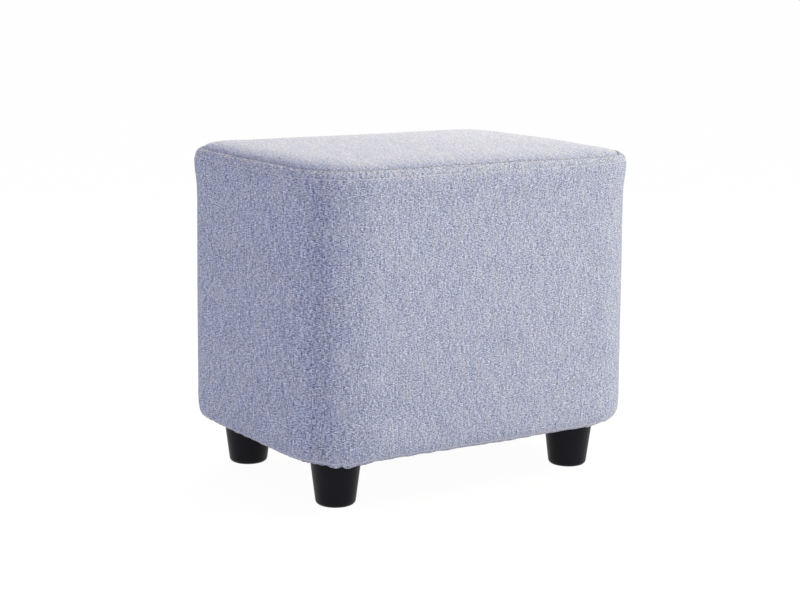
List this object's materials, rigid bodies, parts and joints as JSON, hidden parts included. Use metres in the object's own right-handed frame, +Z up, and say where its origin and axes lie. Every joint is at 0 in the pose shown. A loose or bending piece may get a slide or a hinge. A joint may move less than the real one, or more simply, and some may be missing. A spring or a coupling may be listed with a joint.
{
  "type": "footstool",
  "caption": "Padded rectangular footstool with rounded corners, a fitted cloth cover gathered under the body, and tapered round feet.",
  "frame": {"origin": "on the floor under the middle of the stool, in the plane of the feet's undersides", "axes": "+Z up, +X along the long side, +Y from the front to the back across the short side"},
  "size_m": [0.3996, 0.3036, 0.345],
  "materials": {
    "cover_cloth": "matt linen-look plain weave in pale periwinkle blue and grey slub yarns",
    "bare_board": "unpainted fibreboard",
    "foot_plastic": "satin black moulded plastic"
  },
  "bodies": {
    "root": {"top_panel": "cover_cloth", "side_band": "cover_cloth", "base_board": "bare_board", "foot_front_left": "foot_plastic", "foot_front_right": "foot_plastic", "foot_back_right": "foot_plastic", "foot_back_left": "foot_plastic"}
  },
  "joints": []
}
